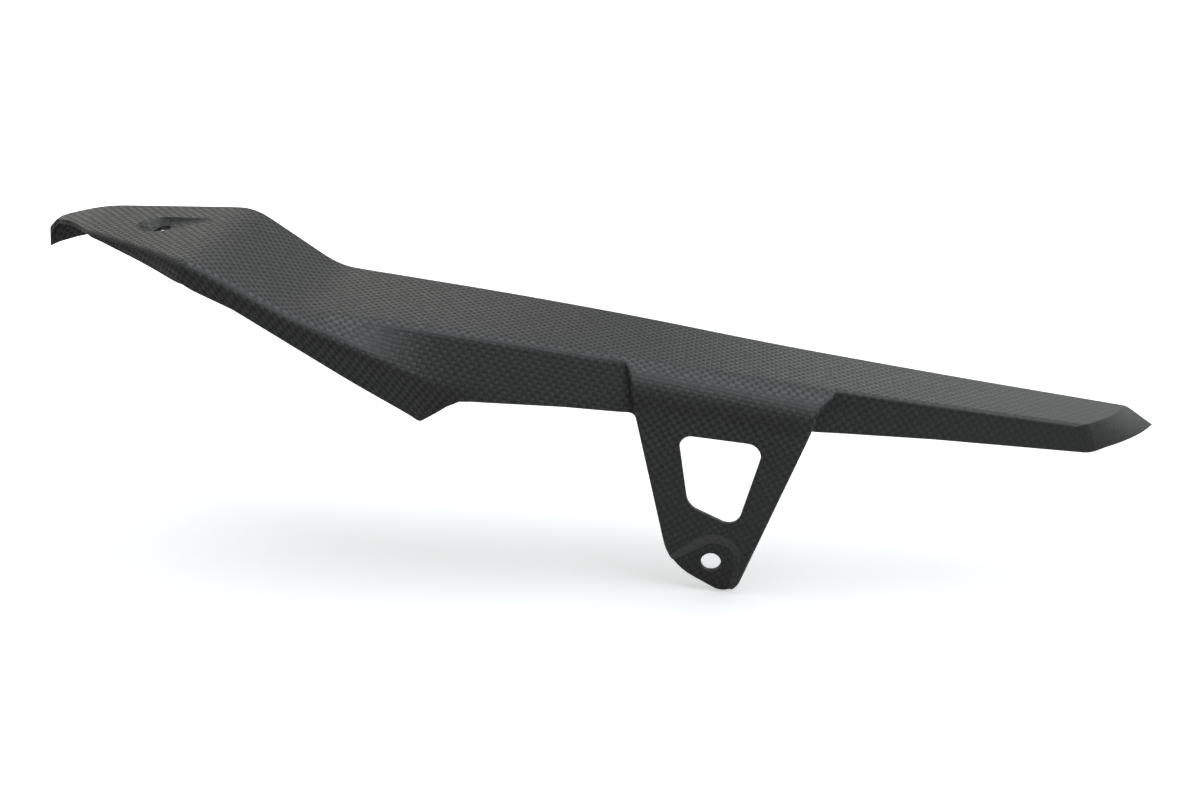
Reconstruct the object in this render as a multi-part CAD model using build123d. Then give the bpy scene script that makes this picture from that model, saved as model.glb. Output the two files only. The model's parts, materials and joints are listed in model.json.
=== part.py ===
from build123d import *
import math
import os

# Moulded chain guard: one thin shell of plain-weave laminate.
# X runs rearward along the deck, Y across it away from the outer side, Z up from the deck.
# Lengths are in millimetres. Every x is measured from the rear fixing hole, every z from
# the flat deck, and the finished guard is set down with the rear fixing hole at the origin.

# Laminate
WALL = 2.0
TRIM_MARGIN = 8.0
INNER_MARGIN = 3.0
SHORTEST_REACH = 2.2

# Lines that run along the guard: (x, value, length of the blend at that corner)
FAR_EDGE_PLAN = [(-345, 38.0, 0), (-235, 38.5, 30), (-175, 36.6, 30), (-115, 38.2, 50),
                 (-50, 37.0, 60), (10, 31.9, 60), (95, 30.4, 60), (165, 31.3, 20), (210, 31.6, 0)]
FAR_EDGE_SIDE = [(-345, -30.0, 0), (-327.5, 0.9, 7), (-305.5, 9.4, 18), (-234.5, 20.6, 14),
                 (-192.5, 0.0, 16), (210, 0.0, 0)]
NEAR_EDGE_PLAN = [(-345, 22.0, 0), (-297.5, 10.0, 20), (-240, -20.5, 30), (-185, -22.5, 30),
                  (-65, -15.0, 60), (40, -11.0, 40), (210, 3.0, 0)]
TOP_PLANE_SIDE = [(-345, -31.0, 0), (-327.5, -0.5, 7), (-305.5, 7.3, 18), (-237.5, 16.7, 20),
                  (-192, 0.0, 16), (210, 0.0, 0)]
RIDGE_PLAN = [(-345, 16.0, 0), (-297.5, 1.0, 20), (-262, -20.5, 20), (-240, -36.5, 12),
              (-165, -36.5, 20), (-133, -34.2, 20), (-110, -31.0, 20), (-48, -25.5, 20),
              (34, -12.2, 20), (210, 2.0, 0)]
RIDGE_SIDE = [(-345, -31.5, 0), (-327.5, -0.8, 7), (-305.5, 7.0, 18), (-237.5, 16.7, 14),
              (-133, -20.5, 16), (-48, -18.0, 20), (34, -11.0, 20), (210, -8.0, 0)]
SKIRT_LEAN = [(-345, 0.02, 0), (-137, 0.02, 10), (-112, 0.63, 20), (-50, 0.58, 4),
              (-46, 0.3, 4), (34, 0.05, 20), (210, 0.05, 0)]
LIP_SIDE = [(-345, -24.0, 0), (-327.5, -12.5, 10), (-305.5, -3.5, 20), (-237.5, 8.0, 20),
            (-190, -11.0, 20), (60, -9.5, 40), (152, -11.9, 0), (210, -11.9, 0)]

# Rounding of the long corners, measured on the outer face
FAR_ROUND = [(-345, 6.0, 0), (-300, 3.5, 20), (-195, 3.5, 10), (-165, 2.2, 10), (210, 1.8, 0)]
NEAR_ROUND = [(-345, 5.0, 0), (-190, 7.0, 20), (-60, 7.0, 10), (-40, 2.6, 10), (210, 2.6, 0)]
RIDGE_ROUND = [(-345, 3.0, 0), (-262, 3.5, 10), (-225, 6.0, 10), (-120, 7.0, 10), (210, 7.0, 0)]

# Near skirt, seen from the side: where its bottom edge turns
SKIRT_EDGE = [(-345, -8.0), (-310, 4.5), (-297, 6.5), (-262, 6.6), (-240, 6.8), (-218, 0.0),
              (-135, -37.2), (-124, -27.9), (-119, -25.0), (-114, -24.3), (-75, -21.3), (-48, -20.0),
              (34, -20.0), (85, -15.8), (152, -11.9), (160, -10.6), (170, -9.7), (180, -8.7),
              (187, -7.8), (212, -4.5)]
APEX_ROUND = 2.5

# Front end, seen from above: the line that the mouth is cut along
MOUTH_LINE = [(-292, -60.0), (-292, -4.5), (-316, 20.5), (-324, 27.0), (-330.5, 31.0), (-334.2, 38.0),
              (-334.5, 60.0)]
MOUTH_ROUND = 5.0

# Bracket that hangs from the deck
PLATE_FACE_Y = -28.0
BRACKET_ROOT_ROUND = 19.0
BRACKET_OUTLINE = [(-59.0, 0.0), (-50.0, -5.4), (-18.3, -90.7), (12.4, -102.6), (31.9, -7.5), (41.5, 0.0)]
BRACKET_ROUNDS = [0, 8.0, 28.0, 8.2, 8.0, 0]
BRACKET_RETURN = 5.0
BRACKET_EDGE_ROUND = 1.5
BRACKET_BACK_Y = 4.0
BRACKET_LEDGE_Z = -22.4
LEFT_FOOT_ROUND = 3.5
RIGHT_FOOT_ROUND = 2.5
FOOT_DEPTH = 2.8

# Window in the bracket
WINDOW_CORNERS = [(-25.0, -25.4), (12.6, -23.6), (7.8, -66.0), (-15.0, -59.0)]
WINDOW_ROUNDS = [5.0, 6.5, 5.5, 9.0]

# Rear fixing hole and the pad that is let in round it
REAR_HOLE_Z = -86.3
REAR_HOLE_RADIUS = 4.5
PAD_DEPTH = 2.5
PAD_FLOOR = dict(x=1.6, z=-85.2, radius=8.9, left=219.5, right=270.0)
PAD_RIM = dict(x=0.3, z=-82.5, radius=12.0, left=226.5, right=272.0)
PAD_SPREAD = 0.35
PAD_RUN_LENGTH = 45.0

# Front fixing hole and the pocket that is let in round it
FRONT_HOLE_X = -268.5
FRONT_HOLE_Y = 12.0
FRONT_HOLE_Z = 11.3
FRONT_HOLE_RADIUS = 4.0
FRONT_FLOOR_RISE = (0.26, 0.105)
POCKET_FLOOR_RADIUS = 6.8
POCKET_SLOPE = 42.0
POCKET_REACH_UP = 12.0
GROOVE_END = (-236.5, 20.0)

# Tail: the end face runs from a line across the deck down to the lower edge
TAIL_TOP = [(-2.3, 145.3), (14.0, 161.5), (31.0, 172.0)]
TAIL_LOW = [(-2.3, 153.5), (14.0, 173.0), (31.0, 187.0)]
TAIL_DROP = [(-2.3, -11.5), (14.0, -9.6), (31.0, -7.8)]
TAIL_CUTS = [-12.0, -3.0, 6.0, 16.0, 28.0, 40.0]
TAIL_CORNER_ROUND = 14.0
TAIL_CORNER_REACH = 3.5
TAIL_ABOVE = 1.5
TAIL_BELOW = 4.0

# Sections that the channel is drawn through
GUARD_START = -338.0
GUARD_END = 200.0
FRONT_PART_END = -100.0
FRONT_STEP = 4.0
REAR_STEP = 12.0
LIP_LEAN = 0.03

# Lower edges: the far and the near edge part at SPLIT_Y, and meet in one line along the tail
SPLIT_Y = 6.0
TAIL_EDGE_FROM = 152.0
LIP_STEP = 8.0

# How far cutting shapes reach past what they cut
OUTSIDE = 90.0
DEEP = -140.0
HOLE_REACH = 12.0


def along(line, x):
    """Value at x of a run of straight pieces whose corners are blended by parabolas."""
    for (x0, v0, _), (x1, v1, blend1), (x2, v2, _) in zip(line, line[1:], line[2:]):
        if abs(x - x1) < blend1 / 2:
            before = (v1 - v0) / (x1 - x0)
            after = (v2 - v1) / (x2 - x1)
            t = x - (x1 - blend1 / 2)
            return v1 - before * blend1 / 2 + before * t + (after - before) * t * t / (2 * blend1)
    for (x0, v0, _), (x1, v1, _) in zip(line, line[1:]):
        if x <= x1:
            return v0 + (v1 - v0) * (x - x0) / (x1 - x0)
    return line[-1][1]


def edge_height(points, x):
    """Height at x of a run of straight pieces."""
    return along([(px, pz, 0) for px, pz in points], x)


def section_corners(x, drop):
    """Corners of the outer face at x, from the foot of the far lip round to the foot of the skirt."""
    far = (along(FAR_EDGE_PLAN, x), along(FAR_EDGE_SIDE, x))
    ridge = (along(RIDGE_PLAN, x), along(RIDGE_SIDE, x))
    near_y = along(NEAR_EDGE_PLAN, x)
    share = (near_y - far[0]) / (ridge[0] - far[0])
    near = (near_y, far[1] + share * (along(TOP_PLANE_SIDE, x) - far[1]))
    lip_z = along(LIP_SIDE, x)
    foot_z = min(edge_height(SKIRT_EDGE, x), ridge[1] - 4)
    if drop == INNER_MARGIN:
        lip_z = min(lip_z, foot_z)
        foot_z = lip_z
    lip = (far[0] + LIP_LEAN * (far[1] - lip_z + drop), lip_z - drop)
    foot = (ridge[0] - along(SKIRT_LEAN, x) * (ridge[1] - foot_z + drop), foot_z - drop)
    return [lip, far, near, ridge, foot]


def unit(a, b):
    """Unit vector from a to b."""
    length = math.dist(a, b)
    return ((b[0] - a[0]) / length, (b[1] - a[1]) / length)


def wall_across(x, drop):
    """How far each face of the section at x moves inward so that the wall is WALL thick.

    A face that also climbs or swings along the guard is cut at a slant by the section, so
    it has to move by more than the thickness itself.
    """
    before = section_corners(x - 1, drop)
    after = section_corners(x + 1, drop)
    here = section_corners(x, drop)
    widths = []
    for i in range(len(here) - 1):
        along_y, along_z = unit(here[i], here[i + 1])
        move_y = (after[i][0] + after[i + 1][0] - before[i][0] - before[i + 1][0]) / 4
        move_z = (after[i][1] + after[i + 1][1] - before[i][1] - before[i + 1][1]) / 4
        slant = move_z * along_y - move_y * along_z
        widths.append(WALL * math.hypot(1, slant))
    return widths


def inset_corners(corners, widths):
    """The same run of corners with each piece between them moved inward by its own width."""
    moved = []
    for i, (y, z) in enumerate(corners):
        behind = unit(corners[i - 1], corners[i]) if i > 0 else unit(corners[0], corners[1])
        ahead = unit(corners[i], corners[i + 1]) if i + 1 < len(corners) else behind
        width_behind = widths[max(i - 1, 0)]
        width_ahead = widths[min(i, len(widths) - 1)]
        turn = behind[0] * ahead[1] - behind[1] * ahead[0]
        if abs(turn) < 0.35:
            width = (width_behind + width_ahead) / 2
            scale = width / (1 + behind[0] * ahead[0] + behind[1] * ahead[1])
            moved.append((y - (behind[1] + ahead[1]) * scale, z + (behind[0] + ahead[0]) * scale))
        else:
            moved.append((y + (ahead[0] * width_behind - behind[0] * width_ahead) / turn,
                          z + (ahead[1] * width_behind - behind[1] * width_ahead) / turn))
    return moved


def rounded_run(x, corners, rounds, inset):
    """Edges along the corners at x, with every inner corner rounded by an arc.

    A corner that hardly turns still gets an arc of SHORTEST_REACH each way, so that the
    faces along the guard keep a width everywhere.
    """
    edges = []
    start = corners[0]
    for i, radius in enumerate(rounds, start=1):
        into = unit(corners[i - 1], corners[i])
        out = unit(corners[i], corners[i + 1])
        turn = math.atan2(into[0] * out[1] - into[1] * out[0], into[0] * out[0] + into[1] * out[1])
        half = math.tan(turn / 2)
        reach = max(radius * abs(half), SHORTEST_REACH) - inset * half
        pull = reach * (4 * math.tan(turn / 4) / (3 * half) if abs(turn) > 0.001 else 2 / 3)
        a = (corners[i][0] - into[0] * reach, corners[i][1] - into[1] * reach)
        b = (corners[i][0] + out[0] * reach, corners[i][1] + out[1] * reach)
        c1 = (a[0] + into[0] * pull, a[1] + into[1] * pull)
        c2 = (b[0] - out[0] * pull, b[1] - out[1] * pull)
        edges.append(Edge.make_line((x, *start), (x, *a)))
        edges.append(Edge.make_bezier((x, *a), (x, *c1), (x, *c2), (x, *b)))
        start = b
    edges.append(Edge.make_line((x, *start), (x, *corners[-1])))
    return edges


def section_wire(x, inset):
    """Closed section at x of the space inside the outer face, or inside the wall."""
    drop = TRIM_MARGIN if inset == 0 else INNER_MARGIN
    corners = section_corners(x, drop)
    rounds = [along(FAR_ROUND, x), along(NEAR_ROUND, x), along(RIDGE_ROUND, x)]
    if inset:
        corners = inset_corners(corners, wall_across(x, drop))
    edges = rounded_run(x, corners, rounds, inset)
    edges.append(Edge.make_line((x, *corners[-1]), (x, *corners[0])))
    return Wire(edges)


def spaced(start, end, step):
    """Evenly spaced places from start up to but not including end, about step apart."""
    count = max(1, round((end - start) / step))
    return [start + (end - start) * i / count for i in range(count)]


def stations(overhang):
    """Places along X where a section is drawn, closer together where the guard bends more."""
    start = GUARD_START - overhang
    end = GUARD_END + overhang
    front = spaced(start, FRONT_PART_END, FRONT_STEP)
    rear = spaced(FRONT_PART_END, end, REAR_STEP)
    return front + rear + [end]


def channel_body(inset):
    """Filled channel: far lip, deck, ridge and near skirt."""
    return Solid.make_loft([section_wire(x, inset) for x in stations(inset)], ruled=True)


def rounded_corner(wire, place, radius):
    """The wire with its corner nearest to an (x, z) place rounded."""
    corner = min(wire.vertices(), key=lambda v: math.dist((v.X, v.Z), place))
    return wire.fillet_2d(radius, [corner])


def side_prism(points, y_from, y_to, rounds=None):
    """Prism across the guard whose outline is drawn in the side view as (x, z) points."""
    wire = Wire.make_polygon([(x, y_from, z) for x, z in points], close=True)
    for place, radius in rounds or []:
        wire = rounded_corner(wire, place, radius)
    return Solid.extrude(Face(wire), Vector(0, y_to - y_from, 0))


def below(points, y_from, y_to, rounds=None):
    """Everything under a run of (x, z) points, between two planes across the guard."""
    outline = points + [(points[-1][0], DEEP), (points[0][0], DEEP)]
    return side_prism(outline, y_from, y_to, rounds)


def on_line(a, b, z):
    """Point at height z on the line through a and b."""
    return (a[0] + (b[0] - a[0]) * (z - a[1]) / (b[1] - a[1]), z)


def skirt_feet():
    """Where the skirt edge turns down into the sides of the bracket, left and then right."""
    feet = []
    for high, low in ((BRACKET_OUTLINE[1], BRACKET_OUTLINE[2]), (BRACKET_OUTLINE[4], BRACKET_OUTLINE[3])):
        z = edge_height(SKIRT_EDGE, high[0])
        feet.append((on_line(high, low, z), on_line(high, low, z - FOOT_DEPTH)))
    return feet


def trim_edges(body):
    """Cut the filled channel off along its lower edges."""
    apex = min(SKIRT_EDGE, key=lambda point: point[1])
    tail_start = (TAIL_EDGE_FROM, edge_height(SKIRT_EDGE, TAIL_EDGE_FROM))
    (left, left_low), (right, right_low) = skirt_feet()
    ahead = [point for point in SKIRT_EDGE if point[0] < left[0]]
    behind = [point for point in SKIRT_EDGE if right[0] < point[0] < TAIL_EDGE_FROM]
    skirt = ahead + [left, left_low, right_low, right] + behind + [tail_start]
    rounds = [(apex, APEX_ROUND), (left, LEFT_FOOT_ROUND), (right, RIGHT_FOOT_ROUND)]
    body = body - below(skirt, -OUTSIDE, SPLIT_Y, rounds)
    tail = [tail_start] + [point for point in SKIRT_EDGE if point[0] > TAIL_EDGE_FROM]
    body = body - below(tail, -OUTSIDE, OUTSIDE)
    lip_places = spaced(SKIRT_EDGE[0][0], TAIL_EDGE_FROM, LIP_STEP) + [TAIL_EDGE_FROM]
    lip = [(x, along(LIP_SIDE, x)) for x in lip_places]
    return body - below(lip, SPLIT_Y, OUTSIDE)


def bracket_outline(inset, y):
    """Side-view outline of the bracket, from the flare at its left down and round to the right."""
    around = [BRACKET_OUTLINE[-1]] + BRACKET_OUTLINE + [BRACKET_OUTLINE[0]]
    corners = inset_corners(around, [inset] * len(around))[1:-1]
    wire = Wire.make_polygon([(x, y, z) for x, z in corners], close=True)
    for place, radius in zip(corners, BRACKET_ROUNDS):
        if radius:
            wire = rounded_corner(wire, place, radius - inset)
    return wire


def bracket_body(inset):
    """Filled bracket: flat plate face with a large hollow round up into the deck."""
    face_y = PLATE_FACE_Y + inset
    back_y = BRACKET_BACK_Y if inset == 0 else BRACKET_BACK_Y + WALL
    outline = Face(bracket_outline(inset, face_y))
    body = Solid.extrude(outline, Vector(0, back_y - face_y, 0)) - bracket_root(inset)
    if inset == 0:
        ledge = Pos(0, (PLATE_FACE_Y + BRACKET_RETURN + OUTSIDE) / 2, DEEP)
        depth = OUTSIDE - PLATE_FACE_Y - BRACKET_RETURN
        body = body - ledge * Box(4 * OUTSIDE, depth, 2 * (BRACKET_LEDGE_Z - DEEP))
        rim = [edge for edge in body.edges() if on_front_rim(edge)]
        body = body.fillet(BRACKET_EDGE_ROUND, rim)
    return body


def on_front_rim(edge):
    """Whether an edge runs round the outside of the plate face or of the hollow round above it."""
    middle = edge.position_at(0.5)
    radius = BRACKET_ROOT_ROUND
    flat = abs(middle.Y - PLATE_FACE_Y) < 0.01 and middle.Z < -radius - 0.5
    off_centre = math.hypot(middle.Y - PLATE_FACE_Y - radius, middle.Z + radius)
    hollow = abs(off_centre - radius) < 0.01 and abs(edge.tangent_at(0.5).X) < 0.9
    return flat or hollow


def bracket_root(inset):
    """What is scooped out above the bracket so that it runs up into the deck in one round."""
    radius = BRACKET_ROOT_ROUND - inset
    top = -inset
    face_y = PLATE_FACE_Y + inset
    centre = (face_y + radius, top - radius)
    middle = (centre[0] - radius * math.sqrt(0.5), centre[1] + radius * math.sqrt(0.5))
    edges = [
        Edge.make_three_point_arc((-OUTSIDE, face_y, centre[1]), (-OUTSIDE, *middle),
                                  (-OUTSIDE, centre[0], top)),
        Edge.make_line((-OUTSIDE, centre[0], top), (-OUTSIDE, centre[0], top + OUTSIDE)),
        Edge.make_line((-OUTSIDE, centre[0], top + OUTSIDE), (-OUTSIDE, -OUTSIDE, top + OUTSIDE)),
        Edge.make_line((-OUTSIDE, -OUTSIDE, top + OUTSIDE), (-OUTSIDE, -OUTSIDE, centre[1])),
        Edge.make_line((-OUTSIDE, -OUTSIDE, centre[1]), (-OUTSIDE, face_y, centre[1])),
    ]
    return Solid.extrude(Face(Wire(edges)), Vector(2 * OUTSIDE, 0, 0))


def pad_outline(share, y, inset):
    """Outline of the pad at a share of the way from its floor to its rim.

    A round top is drawn out by a straight side each way past the lower edge of the bracket.
    """
    pad = {key: PAD_FLOOR[key] + share * (PAD_RIM[key] - PAD_FLOOR[key]) for key in PAD_FLOOR}
    radius = pad["radius"] + PAD_SPREAD * inset
    sides = []
    for heading, outward in ((pad["left"], -1), (pad["right"], 1)):
        run = (math.cos(math.radians(heading)), math.sin(math.radians(heading)))
        touch = (pad["x"] - outward * run[1] * radius, pad["z"] + outward * run[0] * radius)
        end = (touch[0] + run[0] * PAD_RUN_LENGTH, touch[1] + run[1] * PAD_RUN_LENGTH)
        sides.append(((touch[0], y, touch[1]), (end[0], y, end[1])))
    (left, left_end), (right, right_end) = sides
    return Wire([
        Edge.make_three_point_arc(left, (pad["x"], y, pad["z"] + radius), right),
        Edge.make_line(right, right_end),
        Edge.make_line(right_end, left_end),
        Edge.make_line(left_end, left),
    ])


def rear_pad(inset):
    """Shallow recess with sloping sides that lets in the toe of the bracket as a pad."""
    floor_y = PLATE_FACE_Y + PAD_DEPTH + inset
    levels = [pad_outline(share, floor_y - share * PAD_DEPTH, inset) for share in (0, 1, 2)]
    return Solid.make_loft(levels, ruled=True)


def front_floor():
    """Plane of the pocket floor at the front fixing hole, with its X towards the crest."""
    up = Vector(-FRONT_FLOOR_RISE[0], -FRONT_FLOOR_RISE[1], 1)
    run = (GROOVE_END[0] - FRONT_HOLE_X, GROOVE_END[1] - FRONT_HOLE_Y)
    rise = FRONT_FLOOR_RISE[0] * run[0] + FRONT_FLOOR_RISE[1] * run[1]
    return Plane(origin=(FRONT_HOLE_X, FRONT_HOLE_Y, FRONT_HOLE_Z), x_dir=(*run, rise), z_dir=up)


def teardrop(plane, radius, point_at, height):
    """Circle drawn out to a point along X of the plane, at a height above the plane."""
    turn = math.acos(radius / point_at)
    a = (radius * math.cos(turn), radius * math.sin(turn))
    edges = [
        Edge.make_three_point_arc((*a, height), (-radius, 0, height), (a[0], -a[1], height)),
        Edge.make_line((a[0], -a[1], height), (point_at, 0, height)),
        Edge.make_line((point_at, 0, height), (*a, height)),
    ]
    return plane.from_local_coords(Wire(edges))


def front_pocket(inset):
    """Sloping-sided pocket round the front fixing hole, drawn out to a point at the crest."""
    spread = 1 / math.tan(math.radians(POCKET_SLOPE))
    grown = inset * (math.hypot(1, spread) - spread)
    radius = POCKET_FLOOR_RADIUS + grown
    floor = front_floor()
    reach = math.dist(GROOVE_END, (FRONT_HOLE_X, FRONT_HOLE_Y)) / POCKET_FLOOR_RADIUS
    height = POCKET_REACH_UP + inset
    bottom = teardrop(floor, radius, radius * reach, -inset)
    wide = radius + spread * height
    return Solid.make_loft([bottom, teardrop(floor, wide, wide * reach, height - inset)], ruled=True)


def parabola(points, y):
    """Value at y of the parabola through three (y, value) points."""
    (y0, v0), (y1, v1), (y2, v2) = points
    first = (v1 - v0) / (y1 - y0)
    bend = ((v2 - v1) / (y2 - y1) - first) / (y2 - y0)
    return v0 + first * (y - y0) + bend * (y - y0) * (y - y1)


def tail_line(y):
    """Top point of the end face at y, with the directions down the face and across it."""
    top = Vector(parabola(TAIL_TOP, y), y, 0)
    down = Vector(parabola(TAIL_LOW, y), y, parabola(TAIL_DROP, y)) - top
    across = Vector(parabola(TAIL_TOP, y + 1) - parabola(TAIL_TOP, y - 1), 2, 0)
    return top, down, across


def tail_end(inset):
    """Everything beyond the slanting end face, which is bowed from near side to far side."""
    outlines = []
    for y in TAIL_CUTS:
        top, down, across = tail_line(y)
        normal = across.cross(down).normalized()
        inward = Vector(down.Z, 0, -down.X).normalized() * (inset / math.hypot(normal.X, normal.Z))
        high = top + inward - down * TAIL_ABOVE
        low = top + inward + down * TAIL_BELOW
        beyond = [(GUARD_END + OUTSIDE, y, low.Z), (GUARD_END + OUTSIDE, y, high.Z)]
        outlines.append(Wire.make_polygon([tuple(high), tuple(low), *beyond], close=True))
    return Solid.make_loft(outlines)


def tail_corner(inset):
    """What is cut away so that the near skirt turns into the end face in one upright round."""
    x = TAIL_TOP[0][1]
    near, ridge = section_corners(x, TRIM_MARGIN)[2:4]
    next_near = section_corners(x + 1, TRIM_MARGIN)[2]
    side = Vector(x, near[0], 0)
    fall = Vector(0, ridge[0] - near[0], ridge[1] - near[1])
    wall = fall.cross(Vector(1, next_near[0] - near[0], 0)).normalized()
    top, down, across = tail_line(near[0] + TAIL_CORNER_REACH)
    end = down.cross(across).normalized()
    axis = end.cross(wall).normalized()
    forward = axis.cross(wall)
    middle = side - wall * TAIL_CORNER_ROUND
    shift = (-TAIL_CORNER_ROUND - end.dot(middle - top)) / end.dot(forward)
    centre = middle + forward * shift - axis * (OUTSIDE / 2)
    corners = [centre, centre + wall * OUTSIDE, centre + (wall + end) * OUTSIDE, centre + end * OUTSIDE]
    sector = Face(Wire.make_polygon([tuple(corner) for corner in corners], close=True))
    rod = Solid.make_cylinder(TAIL_CORNER_ROUND - inset, OUTSIDE, Plane(origin=centre, z_dir=axis))
    return Solid.extrude(sector, axis * OUTSIDE) - rod


def mouth_cut():
    """Everything in front of the mouth line, drawn in the view from above."""
    ahead = GUARD_START - OUTSIDE
    outline = MOUTH_LINE + [(ahead, OUTSIDE), (ahead, -OUTSIDE)]
    wire = Wire.make_polygon([(x, y, -OUTSIDE) for x, y in outline], close=True)
    turns = [v for v in wire.vertices() if (round(v.X, 3), round(v.Y, 3)) in MOUTH_LINE[2:4]]
    wire = wire.fillet_2d(MOUTH_ROUND, turns)
    return Solid.extrude(Face(wire), Vector(0, 0, 2 * OUTSIDE))


def window():
    """Opening in the bracket, with a round of its own in each corner."""
    rounds = list(zip(WINDOW_CORNERS, WINDOW_ROUNDS))
    return side_prism(WINDOW_CORNERS, -OUTSIDE, 0, rounds)


def fixing_holes():
    """Straight holes square to the rear pad and to the floor of the front pocket."""
    rear = Plane(origin=(0, -OUTSIDE, REAR_HOLE_Z), z_dir=(0, 1, 0))
    front = front_floor().offset(-HOLE_REACH)
    return [Solid.make_cylinder(REAR_HOLE_RADIUS, OUTSIDE, rear),
            Solid.make_cylinder(FRONT_HOLE_RADIUS, 2 * HOLE_REACH, front)]


def filled_guard(inset):
    """The guard as a filled block, bounded by its outer face or by the inside of its wall."""
    channel = channel_body(inset)
    if inset == 0:
        channel = trim_edges(channel)
    body = channel + bracket_body(inset)
    return body - rear_pad(inset) - front_pocket(inset) - tail_end(inset) - tail_corner(inset)


def chain_guard():
    """The whole guard, with the rear fixing hole at the origin."""
    guard = filled_guard(0) - filled_guard(WALL) - mouth_cut() - window()
    for hole in fixing_holes():
        guard = guard - hole
    return Pos(0, -(PLATE_FACE_Y + PAD_DEPTH), -REAR_HOLE_Z) * guard


if __name__ == "__main__":
    os.makedirs("parts", exist_ok=True)
    export_step(chain_guard(), "parts/chain_guard.step")
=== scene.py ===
"""Looks of the chain guard: one moulded shell of satin plain-weave laminate on a pale studio floor.

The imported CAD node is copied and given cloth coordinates, so that a woven pattern can be laid
over deck, ramp, skirts and bracket the way a cloth lies over a mould.
"""

import json
import logging
import math
from dataclasses import dataclass, field
from enum import Enum

import bpy
import numpy as np
from mathutils import Matrix, Vector

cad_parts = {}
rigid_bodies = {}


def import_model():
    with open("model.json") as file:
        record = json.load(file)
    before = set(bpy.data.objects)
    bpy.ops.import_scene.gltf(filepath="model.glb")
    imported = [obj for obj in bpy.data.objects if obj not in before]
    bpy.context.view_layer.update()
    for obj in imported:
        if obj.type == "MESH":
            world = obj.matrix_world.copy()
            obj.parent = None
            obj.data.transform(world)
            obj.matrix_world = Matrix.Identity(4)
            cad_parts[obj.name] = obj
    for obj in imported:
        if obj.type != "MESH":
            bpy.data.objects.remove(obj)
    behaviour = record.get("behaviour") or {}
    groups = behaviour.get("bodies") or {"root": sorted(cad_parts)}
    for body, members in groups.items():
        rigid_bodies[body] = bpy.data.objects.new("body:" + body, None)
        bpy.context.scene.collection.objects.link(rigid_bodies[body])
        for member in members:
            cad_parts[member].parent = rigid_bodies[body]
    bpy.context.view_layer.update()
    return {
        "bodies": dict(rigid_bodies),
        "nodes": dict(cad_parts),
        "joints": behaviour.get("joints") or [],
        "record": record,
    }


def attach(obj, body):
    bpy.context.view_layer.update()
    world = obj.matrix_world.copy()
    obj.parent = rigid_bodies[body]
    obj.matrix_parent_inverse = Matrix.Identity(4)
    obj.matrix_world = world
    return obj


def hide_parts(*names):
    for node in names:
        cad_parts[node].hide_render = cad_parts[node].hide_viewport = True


LOG = logging.getLogger("chain_guard")
MM = 0.001


@dataclass(frozen=True)
class Tone:
    """A colour in linear light."""

    red: float
    green: float
    blue: float

    def rgba(self) -> tuple:
        """Red, green, blue and full cover."""
        return (self.red, self.green, self.blue, 1.0)


Table = dict | None


class Shader:
    """Builds the nodes of one material or world."""

    def __init__(self, tree: bpy.types.NodeTree) -> None:
        """Empties the node tree to build in, and keeps it."""
        self.tree = tree
        tree.nodes.clear()

    def node(self, kind: str, settings: Table = None, inputs: Table = None) -> bpy.types.Node:
        """Adds a node.

        Args:
            kind: The node's type.
            settings: Values of the node's own properties.
            inputs: Values or sockets for its inputs, by name or number.

        Returns:
            The new node.
        """
        made = self.tree.nodes.new(kind)
        for name, value in (settings or {}).items():
            setattr(made, name, value)
        for name, value in (inputs or {}).items():
            self.feed(made.inputs[name], value)
        return made

    def feed(self, target: bpy.types.NodeSocket, value: object) -> None:
        """Sets an input from a constant, or joins a socket to it.

        Args:
            target: The input.
            value: A number, a tuple, a Tone, a Value or a node output.
        """
        if isinstance(value, Value):
            self.tree.links.new(value.socket, target)
        elif isinstance(value, bpy.types.NodeSocket):
            self.tree.links.new(value, target)
        elif isinstance(value, Tone):
            target.default_value = value.rgba()
        else:
            target.default_value = value

    def value(self, kind: str, settings: Table = None, inputs: Table = None, out: int | str = 0) -> "Value":
        """Adds a node in the same way, and wraps its output of the given name or number."""
        return Value(self, self.node(kind, settings, inputs).outputs[out])

    def blend(self, share: object, first: object, second: object) -> "Value":
        """Mixes two colours.

        Args:
            share: How much of the second colour shows, from 0 to 1.
            first: The colour at share 0.
            second: The colour at share 1.

        Returns:
            The mixed colour.
        """
        mix = self.node("ShaderNodeMix", {"data_type": "RGBA"})
        self.feed(mix.inputs[0], share)
        self.feed(mix.inputs[6], first)
        self.feed(mix.inputs[7], second)
        return Value(self, mix.outputs[2])


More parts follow.
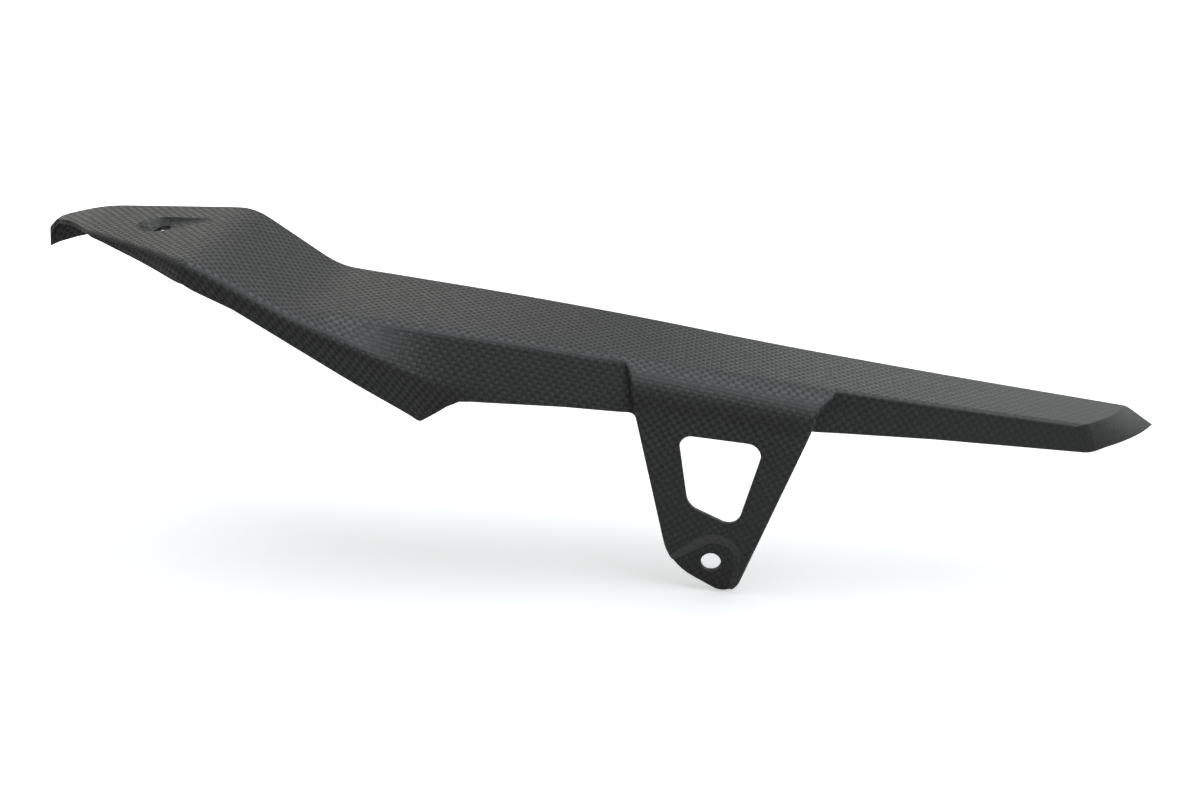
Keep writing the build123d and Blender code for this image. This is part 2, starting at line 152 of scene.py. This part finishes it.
class Value:
    """A number in a shader, with the usual signs for sums on it."""

    def __init__(self, shader: Shader, socket: bpy.types.NodeSocket) -> None:
        """Wraps an output of a node of the shader."""
        self.shader = shader
        self.socket = socket

    def _math(self, operation: str, *terms: object) -> "Value":
        """Adds a Math node with its terms in order."""
        return self.shader.value("ShaderNodeMath", {"operation": operation}, dict(enumerate(terms)))

    def __add__(self, other: object) -> "Value":
        """The value and another together."""
        return self._math("ADD", self, other)

    __radd__ = __add__

    def __sub__(self, other: object) -> "Value":
        """The value less another."""
        return self._math("SUBTRACT", self, other)

    def __rsub__(self, other: object) -> "Value":
        """Another less the value."""
        return self._math("SUBTRACT", other, self)

    def __mul__(self, other: object) -> "Value":
        """The value times another."""
        return self._math("MULTIPLY", self, other)

    __rmul__ = __mul__

    def __truediv__(self, other: object) -> "Value":
        """The value divided by another."""
        return self._math("DIVIDE", self, other)

    def __rtruediv__(self, other: object) -> "Value":
        """Another divided by the value."""
        return self._math("DIVIDE", other, self)

    def __pow__(self, other: object) -> "Value":
        """The value to the power of another."""
        return self._math("POWER", self, other)

    def __rpow__(self, other: object) -> "Value":
        """Another to the power of the value."""
        return self._math("POWER", other, self)

    def size(self) -> "Value":
        """The value without its sign."""
        return self._math("ABSOLUTE", self)

    def floor(self) -> "Value":
        """The whole number below."""
        return self._math("FLOOR", self)

    def remainder(self, step: float) -> "Value":
        """What is left over after whole steps, from 0 up to the step."""
        return self._math("FLOORED_MODULO", self, step)

    def above(self, limit: object) -> "Value":
        """1 where the value is over the limit, 0 elsewhere."""
        return self._math("GREATER_THAN", self, limit)

    def most(self, other: object) -> "Value":
        """The larger of the two values."""
        return self._math("MAXIMUM", self, other)

    def scaled(self, low: float, high: float, to_low: float = 0.0, to_high: float = 1.0) -> "Value":
        """Fits the range from low to high to the one from to_low to to_high, and holds it there."""
        inputs = {0: self, 1: low, 2: high, 3: to_low, 4: to_high}
        return self.shader.value("ShaderNodeMapRange", {"clamp": True}, inputs)


Line = list[tuple[float, float, float]]


def along(line: Line, x: float) -> float:
    """Value at x of straight pieces whose corners are blended by parabolas.

    Args:
        line: Corners as place, value and length of blend.
        x: The place.

    Returns:
        The value.
    """
    for (x0, v0, _), (x1, v1, blend), (x2, v2, _) in zip(line, line[1:], line[2:]):
        if abs(x - x1) < blend / 2:
            before = (v1 - v0) / (x1 - x0)
            after = (v2 - v1) / (x2 - x1)
            t = x - (x1 - blend / 2)
            return v1 - before * blend / 2 + before * t + (after - before) * t * t / (2 * blend)
    for (x0, v0, _), (x1, v1, _) in zip(line, line[1:]):
        if x <= x1:
            return v0 + (v1 - v0) * (x - x0) / (x1 - x0)
    return line[-1][1]


@dataclass(frozen=True)
class MouldLines:
    """Long lines of the mould that the cloth is laid on, in millimetres from the deck and the rear hole."""

    far_plan: Line = field(default_factory=lambda: [
        (-345, 38.0, 0), (-235, 38.5, 30), (-175, 36.6, 30), (-115, 38.2, 50),
        (-50, 37.0, 60), (10, 31.9, 60), (95, 30.4, 60), (165, 31.3, 20), (210, 31.6, 0)])
    far_side: Line = field(default_factory=lambda: [
        (-345, -30.0, 0), (-327.5, 0.9, 7), (-305.5, 9.4, 18), (-234.5, 20.6, 14),
        (-192.5, 0.0, 16), (210, 0.0, 0)])
    near_plan: Line = field(default_factory=lambda: [
        (-345, 22.0, 0), (-297.5, 10.0, 20), (-240, -20.5, 30), (-185, -22.5, 30),
        (-65, -15.0, 60), (40, -11.0, 40), (210, 3.0, 0)])
    top_side: Line = field(default_factory=lambda: [
        (-345, -31.0, 0), (-327.5, -0.5, 7), (-305.5, 7.3, 18), (-237.5, 16.7, 20),
        (-192, 0.0, 16), (210, 0.0, 0)])
    ridge_plan: Line = field(default_factory=lambda: [
        (-345, 16.0, 0), (-297.5, 1.0, 20), (-262, -20.5, 20), (-240, -36.5, 12), (-165, -36.5, 20),
        (-133, -34.2, 20), (-110, -31.0, 20), (-48, -25.5, 20), (34, -12.2, 20), (210, 2.0, 0)])
    ridge_side: Line = field(default_factory=lambda: [
        (-345, -31.5, 0), (-327.5, -0.8, 7), (-305.5, 7.0, 18), (-237.5, 16.7, 14),
        (-133, -20.5, 16), (-48, -18.0, 20), (34, -11.0, 20), (210, -8.0, 0)])
    skirt_lean: Line = field(default_factory=lambda: [
        (-345, 0.02, 0), (-137, 0.02, 10), (-112, 0.63, 20), (-50, 0.58, 4), (-46, 0.3, 4),
        (34, 0.05, 20), (210, 0.05, 0)])
    origin: tuple[float, float, float] = (0.0, -25.5, -86.3)
    plate_y: float = -28.0
    root_round: float = 19.0
    bracket_left: tuple[tuple[float, float], ...] = ((-59.0, 0.0), (-50.0, -5.4), (-18.3, -90.7))
    bracket_right: tuple[tuple[float, float], ...] = ((41.5, 0.0), (31.9, -7.5), (12.4, -102.6))
    bracket_slack: float = 0.5
    depth: float = 60.0
    lip_lean: float = 0.03
    deck_inner_y: float = 40.0
    round_pieces: int = 8

    def corners(self, x: float) -> np.ndarray:
        """Corners of the section at x, from under the far lip to under the near skirt.

        Args:
            x: Place along the guard.

        Returns:
            Five points, each y and z.
        """
        far = np.array([along(self.far_plan, x), along(self.far_side, x)])
        ridge = np.array([along(self.ridge_plan, x), along(self.ridge_side, x)])
        near_y = along(self.near_plan, x)
        share = (near_y - far[0]) / (ridge[0] - far[0])
        near = np.array([near_y, far[1] + share * (along(self.top_side, x) - far[1])])
        lip = far + np.array([self.lip_lean * self.depth, -self.depth])
        foot = ridge + np.array([-along(self.skirt_lean, x) * self.depth, -self.depth])
        return np.array([lip, far, near, ridge, foot])

    def on_bracket(self, point: np.ndarray) -> bool:
        """Whether a point of the outer side belongs to the bracket and not to the skirt beside it.

        Args:
            point: x, y and z.

        Returns:
            True between the side lines of the bracket.
        """
        x, y, z = point
        left = np.interp(-z, [-c[1] for c in self.bracket_left], [c[0] for c in self.bracket_left])
        right = np.interp(-z, [-c[1] for c in self.bracket_right], [c[0] for c in self.bracket_right])
        between = left - self.bracket_slack < x < right + self.bracket_slack
        return bool(y < self.plate_y + self.root_round and between)

    def bracket_corners(self) -> np.ndarray:
        """Corners of the bracket's section: deck, large round and plate.

        Returns:
            Points, each y and z.
        """
        centre = np.array([self.plate_y + self.root_round, -self.root_round])
        turns = [math.radians(90 + 90 * i / self.round_pieces) for i in range(self.round_pieces + 1)]
        arc = [centre + self.root_round * np.array([math.cos(a), math.sin(a)]) for a in turns]
        return np.array([(self.deck_inner_y, 0.0), *arc, (self.plate_y, -2 * self.depth)])


class Cloth:
    """Where each point of the guard lies on the flat cloth that was laid over the mould."""

    # How the cloth leans and dips on the bracket, in millimetres per millimetre, and where that sets in.
    LEAN = 0.08
    DIP = 0.05
    DIP_REACH = 10.0
    # First and last measured section, the distance between them, and the least run from one to the next.
    FRONT_END = -342.0
    REAR_END = 200.0
    STEP = 2.0
    LEAST_STEP = 0.2

    def __init__(self, lines: MouldLines) -> None:
        """Measures the cloth along every long line of the mould.

        Args:
            lines: The mould's lines.
        """
        self.lines = lines
        self.places = np.arange(self.FRONT_END, self.REAR_END, self.STEP)
        self.corners = np.array([lines.corners(x) for x in self.places])
        self.bracket = lines.bracket_corners()
        pieces = np.linalg.norm(np.diff(self.bracket, axis=0), axis=1)
        self.bracket_run = np.concatenate([[0.0], np.cumsum(pieces)])
        self.across = self._across()
        self.down = self._along()

    def _across(self) -> np.ndarray:
        """Cloth coordinate across the guard, equal to y on the deck's middle line.

        Returns:
            One value per section and corner.
        """
        spans = np.linalg.norm(np.diff(self.corners, axis=1), axis=2)
        total = np.concatenate([np.zeros((len(self.places), 1)), np.cumsum(spans, axis=1)], axis=1)
        far = self.corners[:, 1, 0]
        return far[:, None] + total[:, 1][:, None] - total

    def _along(self) -> np.ndarray:
        """Cloth coordinate along the guard, measured down each corner line.

        Returns:
            One value per section and corner.
        """
        moves = np.diff(self.corners, axis=0)
        squares = (moves ** 2).sum(axis=2) + np.diff(self.places)[:, None] ** 2
        sideways = np.diff(self.across, axis=0) ** 2
        steps = np.sqrt(np.maximum(squares - sideways, self.LEAST_STEP ** 2))
        down = np.concatenate([np.zeros((1, self.corners.shape[1])), np.cumsum(steps, axis=0)])
        rest = int(np.argmin(np.abs(self.places)))
        return down - down[rest]

    @staticmethod
    def nearest(point: np.ndarray, corners: np.ndarray) -> tuple[int, float]:
        """Closest place on a run of corners.

        Args:
            point: y and z.
            corners: The run.

        Returns:
            Number of the piece and share of the way along it.
        """
        start = corners[:-1]
        run = corners[1:] - start
        share = np.clip(((point - start) * run).sum(axis=1) / (run ** 2).sum(axis=1), 0, 1)
        away = np.linalg.norm(start + run * share[:, None] - point, axis=1)
        i = int(np.argmin(away))
        return i, float(share[i])

    def lay_on_bracket(self, point: np.ndarray) -> tuple[float, float]:
        """Cloth coordinates of a point of the bracket, where the cloth leans a little.

        Args:
            point: x, y and z in millimetres, from the deck and the rear hole.

        Returns:
            Distance along the cloth and across it.
        """
        piece, share = self.nearest(point[1:], self.bracket)
        down = self.bracket_run[piece] + share * (self.bracket_run[piece + 1] - self.bracket_run[piece])
        across = self.bracket[0, 0] - down
        hang = max(down - self.bracket_run[1], 0.0)
        return point[0] + self.LEAN * hang, across + self.DIP * point[0] * min(hang / self.DIP_REACH, 1.0)

    def lay(self, point: np.ndarray, bracket: bool) -> tuple[float, float]:
        """Cloth coordinates of a point of the guard.

        Args:
            point: x, y and z in millimetres, from the deck and the rear hole.
            bracket: Whether the face that the point bounds is part of the bracket.

        Returns:
            Distance along the cloth and across it.
        """
        if bracket:
            return self.lay_on_bracket(point)
        place = float(np.clip((point[0] - self.FRONT_END) / self.STEP, 0, len(self.places) - 1))
        i = min(int(place), len(self.places) - 2)
        part = place - i
        corners, across, down = (
            rows[i] * (1 - part) + rows[i + 1] * part for rows in (self.corners, self.across, self.down))
        piece, share = self.nearest(point[1:], corners)
        u = down[piece] * (1 - share) + down[piece + 1] * share
        v = across[piece] * (1 - share) + across[piece + 1] * share
        return u, v


class Slot(Enum):
    """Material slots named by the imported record."""

    LAMINATE = "laminate"


@dataclass(frozen=True)
class Weave:
    """Plain weave, where each bundle goes over one crossing and under the next.

    A bundle on top bulges past its own square along its length, so its float is longer than wide.
    """

    # Painted sheen: long or cross floats are painted lighter by how far the face leans up.
    pitch: float = 2.0 * MM
    # How far the bundles wander, in squares, and how finely.
    drift: float = 0.5
    drift_scale: float = 140.0
    # Upward lean of a face on which the cross bundles are painted with sheen, and of one on which the long
    # ones are.
    cross_sheen_lean: float = 0.6
    long_sheen_lean: float = 0.9
    # Height of a float's middle, what a float painted with sheen gains, and its fall along and across the
    # bundle.
    crown_height: float = 0.88
    crown_gain: float = 0.24
    dive: float = 0.45
    shoulder: float = 0.85
    # How much brightness differs from one square to the next.
    uneven: float = 0.6

    def build(self, shader: Shader) -> tuple[Value, Value, Value]:
        """Works out the weave at a point of the cloth.

        Args:
            shader: The shader to build in.

        Returns:
            Height of the cloth, how far the point's float is painted with sheen, unevenly from square to
            square, and place along the cloth in squares.
        """
        place = shader.value("ShaderNodeAttribute", {"attribute_name": "cloth"}, out="Vector")
        wander = shader.node("ShaderNodeTexNoise", {"noise_dimensions": "2D"},
                             {"Vector": place, "Scale": self.drift_scale, "Detail": 1.0})
        drift = shader.node("ShaderNodeSeparateColor", inputs={0: wander.outputs["Color"]})
        split = shader.node("ShaderNodeSeparateXYZ", inputs={0: place})
        u, v = (Value(shader, split.outputs[i]) / self.pitch
                + self.drift * (Value(shader, drift.outputs[i]) - 0.5) for i in (0, 1))
        long_square = (u.floor() + v.floor()).remainder(2.0).above(0.5)
        from_u = ((u.remainder(1.0) - 0.5) * 2.0).size()
        from_v = ((v.remainder(1.0) - 0.5) * 2.0).size()
        long_sheen_facing = Value(shader, split.outputs[2]).scaled(self.cross_sheen_lean, self.long_sheen_lean)
        long_crown = self.crown(from_u + (1.0 - long_square) * (2.0 - 2.0 * from_u), from_v, long_sheen_facing)
        cross_crown = self.crown(from_v + long_square * (2.0 - 2.0 * from_v), from_u, 1.0 - long_sheen_facing)
        long_on_top = long_crown.above(cross_crown)
        painted_sheen_and_grain = long_sheen_facing * long_on_top + (1.0 - long_sheen_facing) * (1.0 - long_on_top)
        squares = shader.node("ShaderNodeCombineXYZ", inputs={0: u.floor(), 1: v.floor()})
        chance = shader.value("ShaderNodeTexWhiteNoise", {"noise_dimensions": "2D"},
                              {"Vector": squares.outputs[0]})
        return long_crown.most(cross_crown), painted_sheen_and_grain * (1.0 + self.uneven * (chance - 0.5)), u

    def crown(self, length: Value, width: Value, favoured: Value) -> Value:
        """Height of a bundle's float: about 1 on its middle, and under 0 where it has dived.

        Args:
            length: Distance from its middle along the bundle, in half squares.
            width: Distance from its middle across the bundle, in half squares.
            favoured: How much the float stands out, from 0 to 1.

        Returns:
            The height.
        """
        top = self.crown_height + self.crown_gain * favoured
        return top - self.dive * length ** 2.0 - self.shoulder * width ** 4.0


@dataclass(frozen=True)
class Laminate:
    """Satin finish of woven cloth under clear resin, with a highlight painted lighter along its edges."""

    weave: Weave = Weave()
    resin: Tone = Tone(0.004, 0.0042, 0.004)
    # Painted sheen: the shaded and lit colours of the same cloth, between which each float is painted.
    shaded: Tone = Tone(0.0195, 0.0195, 0.018)
    lit: Tone = Tone(0.038, 0.038, 0.0355)
    # Painted highlight colour for the edges and the pad's slope.
    painted_highlight: Tone = Tone(0.13, 0.13, 0.125)
    # Heights of the weave between which dark resin gives way to cloth.
    resin_foot: float = -0.2
    resin_top: float = 0.45
    # Gloss: the resin itself, its mottling, and the clear coat, which is stronger on floats painted with
    # sheen.
    roughness: float = 0.47
    mottle: float = 0.08
    mottle_scale: float = 90.0
    sheen: float = 0.10
    specular: float = 0.42
    coat: float = 0.06
    coat_gain: float = 0.34
    coat_roughness: float = 0.40
    relief: float = 0.14 * MM
    # Rounding of the edges, how far a normal has to turn there before the edge is painted lighter as a
    # highlight, and how much lighter.
    edge_round: float = 0.9 * MM
    highlight_turn: tuple[float, float] = (0.004, 0.05)
    highlight_share: float = 0.6
    # Where the weave grows faint towards the tail, in squares, and what is left of it there.
    tail_squares: tuple[float, float] = (5.0, 75.0)
    tail_share: float = 0.2
    # Heights between which the weave grows faint down the bracket, what is left of it, and its grain.
    bracket_heights: tuple[float, float] = (35.0 * MM, 60.0 * MM)
    bracket_share: float = 0.55
    grain_scale: float = 700.0
    # The bracket's window, left without the painted edge highlight, as a centre with half sizes that are
    # multiplied by the fade.
    window_centre: tuple[float, float, float] = (-3.0 * MM, 0.0, 44.0 * MM)
    window_reach: tuple[float, float, float] = (22.0 * MM, 1.0, 32.0 * MM)
    window_fade: tuple[float, float] = (0.9, 1.1)
    # The slope around the pad, where light is painted: its reach from the rear hole, its turn from the
    # plate, and the share of painted light.
    pad_reach: float = 24.0 * MM
    pad_fade: float = 0.85
    pad_turn: tuple[float, float] = (0.01, 0.06)
    pad_light_share: float = 0.5
    outward: tuple[float, float, float] = (0.0, -1.0, 0.0)
    outer_side: float = 0.6

    def painted_edge_highlight(self, shader: Shader, surface: bpy.types.Node, rounded: Value) -> Value:
        """Finds edges to paint lighter as a highlight, apart from the bracket's window, whose edge stays
        dark.

        Args:
            shader: The shader to build in.
            surface: The Geometry node.
            rounded: The normal with its edges rounded.

        Returns:
            Share of the painted highlight colour.
        """
        turned = shader.value("ShaderNodeVectorMath", {"operation": "DOT_PRODUCT"},
                              {0: rounded, 1: surface.outputs["Normal"]}, out="Value")
        away = shader.value("ShaderNodeVectorMath", {"operation": "SUBTRACT"},
                            {0: surface.outputs["Position"], 1: self.window_centre})
        away = shader.value("ShaderNodeVectorMath", {"operation": "DIVIDE"},
                            {0: away, 1: self.window_reach})
        from_window = shader.value("ShaderNodeVectorMath", {"operation": "LENGTH"}, {0: away}, out="Value")
        edge = (1.0 - turned).scaled(*self.highlight_turn, 0.0, self.highlight_share)
        return edge * from_window.scaled(*self.window_fade)

    def painted_pad_light(self, shader: Shader, surface: bpy.types.Node) -> Value:
        """Finds the slope around the let-in pad, where light is painted by a lighter colour.

        Args:
            shader: The shader to build in.
            surface: The Geometry node.

        Returns:
            Share of the painted light colour.
        """
        away = shader.value("ShaderNodeVectorMath", {"operation": "LENGTH"},
                            {0: surface.outputs["Position"]}, out="Value")
        facing = shader.value("ShaderNodeVectorMath", {"operation": "DOT_PRODUCT"},
                              {0: surface.outputs["Normal"], 1: self.outward}, out="Value")
        # Painted light on the outward-facing slope around the pad.
        slope = (1.0 - facing).scaled(*self.pad_turn, 0.0, self.pad_light_share) * facing.above(self.outer_side)
        return slope * away.scaled(self.pad_fade * self.pad_reach, self.pad_reach, 1.0, 0.0)

    def material(self) -> bpy.types.Material:
        """Builds the finish, whose weave grows fainter towards the tail and down the bracket.

        Returns:
            The material.
        """
        made = bpy.data.materials.new("laminate")
        made.use_nodes = True
        shader = Shader(made.node_tree)
        height, painted_sheen_and_grain, squares_back = self.weave.build(shader)
        surface = shader.node("ShaderNodeNewGeometry")
        place = surface.outputs["Position"]
        split = shader.node("ShaderNodeSeparateXYZ", inputs={0: place})
        above_bracket = Value(shader, split.outputs[2]).scaled(*self.bracket_heights)
        grain = shader.value("ShaderNodeTexNoise", {"noise_dimensions": "3D"},
                             {"Vector": place, "Scale": self.grain_scale, "Detail": 2.0}, out="Fac")
        clear = squares_back.scaled(*self.tail_squares, 1.0, self.tail_share)
        clear = clear * (self.bracket_share + (1.0 - self.bracket_share) * above_bracket)
        painted_sheen_and_grain = 0.5 + clear * (painted_sheen_and_grain - 0.5) + (1.0 - above_bracket) * (grain - 0.5)
        # Painted sheen: the float colour is blended from the painted shaded and lit copies of the cloth.
        cell = shader.blend(painted_sheen_and_grain, self.shaded, self.lit)
        colour = shader.blend(height.scaled(self.resin_foot, self.resin_top), self.resin, cell)
        rounded = shader.value("ShaderNodeBevel", {"samples": 6}, {"Radius": self.edge_round}, out="Normal")
        # Painted highlight along rounded edges and painted light on the pad's slope, both lightening the
        # base colour.
        painted_light = self.painted_edge_highlight(shader, surface, rounded).most(self.painted_pad_light(shader, surface))
        mottle = shader.value("ShaderNodeTexNoise", {"noise_dimensions": "3D"},
                              {"Vector": place, "Scale": self.mottle_scale, "Detail": 4.0}, out="Fac")
        bump = shader.value("ShaderNodeBump", inputs={
            "Height": clear * height, "Distance": self.relief, "Strength": 1.0, "Normal": rounded})
        principled = shader.node("ShaderNodeBsdfPrincipled", inputs={
            "Base Color": shader.blend(painted_light, colour, self.painted_highlight),
            "Roughness": self.roughness + self.mottle * (mottle - 0.5) - self.sheen * (painted_sheen_and_grain - 0.5),
            "Normal": bump, "Specular IOR Level": self.specular,
            "Coat Weight": self.coat + self.coat_gain * painted_sheen_and_grain, "Coat Roughness": self.coat_roughness})
        shader.node("ShaderNodeOutputMaterial", inputs={"Surface": principled.outputs[0]})
        return made


class ChainGuard:
    """The moulded guard itself."""

    def __init__(self, frame: dict, lines: MouldLines, finish: Laminate) -> None:
        """Keeps what the guard is made from.

        Args:
            frame: The loaded frame.
            lines: Lines of the mould.
            finish: The surface finish.
        """
        self.source = frame["nodes"]["chain_guard"]
        self.lines = lines
        self.finish = finish

    def mesh(self) -> bpy.types.Mesh:
        """Copies the CAD mesh with its own shading normals and adds cloth coordinates.

        Returns:
            The new mesh.
        """
        made = self.source.data.copy()
        made.name = "guard_shell"
        made.materials.clear()
        made.materials.append(self.finish.material())
        self.lay_cloth(made)
        return made

    def lay_cloth(self, mesh: bpy.types.Mesh) -> None:
        """Stores cloth coordinates, and how much the surface faces up for the weave's painted sheen, at
        each corner of each face.

        Args:
            mesh: The guard's mesh.
        """
        cloth = Cloth(self.lines)
        origin = np.array(self.lines.origin)
        points = np.array([vertex.co for vertex in mesh.vertices]) / MM + origin
        laid = np.zeros((len(mesh.loops), 3))
        known: dict[tuple[int, bool], tuple[float, float]] = {}
        for face in mesh.polygons:
            bracket = self.lines.on_bracket(np.array(face.center) / MM + origin)
            for corner in face.loop_indices:
                vertex = mesh.loops[corner].vertex_index
                if (vertex, bracket) not in known:
                    known[vertex, bracket] = cloth.lay(points[vertex], bracket)
                laid[corner, :2] = known[vertex, bracket]
                laid[corner, 2] = mesh.vertices[vertex].normal.z / MM
        attribute = mesh.attributes.new("cloth", "FLOAT_VECTOR", "CORNER")
        attribute.data.foreach_set("vector", (laid * MM).ravel())

    def build(self) -> bpy.types.Object:
        """Adds the guard to the scene in place of the CAD node.

        Returns:
            The new object.
        """
        guard = bpy.data.objects.new("guard_shell", self.mesh())
        bpy.context.scene.collection.objects.link(guard)
        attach(guard, "root")
        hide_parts("chain_guard")
        LOG.info("guard shell of %d faces", len(guard.data.polygons))
        return guard


@dataclass(frozen=True)
class View:
    """The camera that the photograph was taken with."""

    place: tuple[float, float, float] = (-0.03689, -0.52076, 0.31621)
    right: tuple[float, float, float] = (0.98396, 0.11049, 0.14006)
    down: tuple[float, float, float] = (0.17373, -0.41501, -0.89308)
    forward: tuple[float, float, float] = (-0.04054, 0.90308, -0.42755)
    lens: float = 40.5
    sensor: float = 36.0
    clip_start: float = 10.0 * MM

    def build(self) -> bpy.types.Object:
        """Adds the camera.

        Returns:
            The camera object.
        """
        data = bpy.data.cameras.new("camera")
        data.lens = self.lens
        data.sensor_width = self.sensor
        data.clip_start = self.clip_start
        camera = bpy.data.objects.new("camera", data)
        turn = Matrix([self.right, [-c for c in self.down], [-c for c in self.forward]]).transposed()
        camera.matrix_world = Matrix.Translation(self.place) @ turn.to_4x4()
        bpy.context.scene.collection.objects.link(camera)
        bpy.context.scene.camera = camera
        return camera


@dataclass(frozen=True)
class Lamp:
    """A soft rectangular light."""

    name: str
    place: tuple[float, float, float]
    aim: tuple[float, float, float]
    width: float
    height: float
    power: float
    tone: tuple[float, float, float] = (1.0, 1.0, 1.0)

    def build(self) -> bpy.types.Object:
        """Adds the light.

        Returns:
            The light object.
        """
        data = bpy.data.lights.new(self.name, "AREA")
        data.shape = "RECTANGLE"
        data.size = self.width
        data.size_y = self.height
        data.energy = self.power
        data.color = self.tone
        lamp = bpy.data.objects.new(self.name, data)
        aim = Vector(self.aim) - Vector(self.place)
        turn = aim.to_track_quat("-Z", "Y").to_matrix().to_4x4()
        lamp.matrix_world = Matrix.Translation(self.place) @ turn
        bpy.context.scene.collection.objects.link(lamp)
        return lamp


@dataclass(frozen=True)
class Floor:
    """Pale floor, level with the photograph and just under the guard's toe."""

    toe: tuple[float, float, float] = (9.0 * MM, 0.0, -14.3 * MM)
    up: tuple[float, float, float] = (-0.136, 0.063, 1.0)
    half: float = 6.0
    # Colour that the camera sees and that other rays meet, and the glow that whitens it for the camera.
    seen: Tone = Tone(0.95, 0.95, 0.95)
    lighting: Tone = Tone(0.55, 0.55, 0.54)
    dark: Tone = Tone(0.0, 0.0, 0.0)
    near_glow: Tone = Tone(0.41, 0.41, 0.41)
    far_glow: Tone = Tone(1.0, 1.0, 1.0)
    glow_reach: tuple[float, float] = (0.45, 0.75)
    roughness: float = 0.95

    def material(self) -> bpy.types.Material:
        """Builds the floor's finish: white and self-lit for the camera, pale grey for lighting.

        Returns:
            The material.
        """
        made = bpy.data.materials.new("floor")
        made.use_nodes = True
        shader = Shader(made.node_tree)
        by_camera = shader.node("ShaderNodeLightPath").outputs["Is Camera Ray"]
        place = shader.value("ShaderNodeNewGeometry", out="Position")
        away = shader.value("ShaderNodeVectorMath", {"operation": "LENGTH"}, {0: place}, out="Value")
        glow = shader.blend(away.scaled(*self.glow_reach), self.near_glow, self.far_glow)
        matte = shader.node("ShaderNodeBsdfPrincipled", inputs={
            "Base Color": shader.blend(by_camera, self.lighting, self.seen),
            "Roughness": self.roughness, "Specular IOR Level": 0.0, "Emission Strength": 1.0,
            "Emission Color": shader.blend(by_camera, self.dark, glow)})
        shader.node("ShaderNodeOutputMaterial", inputs={"Surface": matte.outputs[0]})
        return made

    def build(self) -> bpy.types.Object:
        """Adds the floor.

        Returns:
            The floor object.
        """
        mesh = bpy.data.meshes.new("floor")
        corners = [(x * self.half, y * self.half, 0.0) for x, y in ((-1, -1), (1, -1), (1, 1), (-1, 1))]
        mesh.from_pydata(corners, [], [(0, 1, 2, 3)])
        mesh.materials.append(self.material())
        floor = bpy.data.objects.new("floor", mesh)
        turn = Vector(self.up).to_track_quat("Z", "Y").to_matrix().to_4x4()
        floor.matrix_world = Matrix.Translation(self.toe) @ turn
        bpy.context.scene.collection.objects.link(floor)
        return floor


@dataclass(frozen=True)
class Studio:
    """Floor, background and lights."""

    floor: Floor = Floor()
    lamps: tuple[Lamp, ...] = (
        Lamp("overhead", (0.05, 0.10, 1.20), (0.03, 0.03, 0.05), 2.2, 1.3, 17.0, (0.90, 0.96, 1.0)),
        Lamp("back_left", (-0.95, 1.10, 0.40), (-0.25, 0.03, 0.08), 1.7, 0.9, 2.9, (1.0, 0.985, 0.93)),
        Lamp("back_right", (0.80, 1.00, 0.45), (0.11, 0.03, 0.08), 1.8, 0.9, 4.7, (0.96, 0.985, 1.0)),
    )
    lighting: Tone = Tone(0.20, 0.20, 0.20)
    white: Tone = Tone(1.0, 1.0, 1.0)

    def world(self) -> None:
        """Makes the background white for the camera and dim for lighting."""
        world = bpy.data.worlds.new("studio")
        world.use_nodes = True
        bpy.context.scene.world = world
        shader = Shader(world.node_tree)
        by_camera = shader.node("ShaderNodeLightPath").outputs["Is Camera Ray"]
        colour = shader.blend(by_camera, self.lighting, self.white)
        background = shader.node("ShaderNodeBackground", inputs={"Color": colour, "Strength": 1.0})
        shader.node("ShaderNodeOutputWorld", inputs={"Surface": background.outputs[0]})

    def build(self) -> None:
        """Builds everything that surrounds the guard."""
        self.world()
        self.floor.build()
        for lamp in self.lamps:
            lamp.build()
        LOG.info("studio with %d lamps", len(self.lamps))


def main() -> None:
    """Builds the guard and the studio in order."""
    logging.basicConfig(level=logging.INFO, format="%(message)s")
    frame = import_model()
    bpy.context.scene.view_settings.view_transform = "Standard"
    ChainGuard(frame, MouldLines(), Laminate()).build()
    View().build()
    Studio().build()
    LOG.info("scene built")


if __name__ == "__main__":
    main()
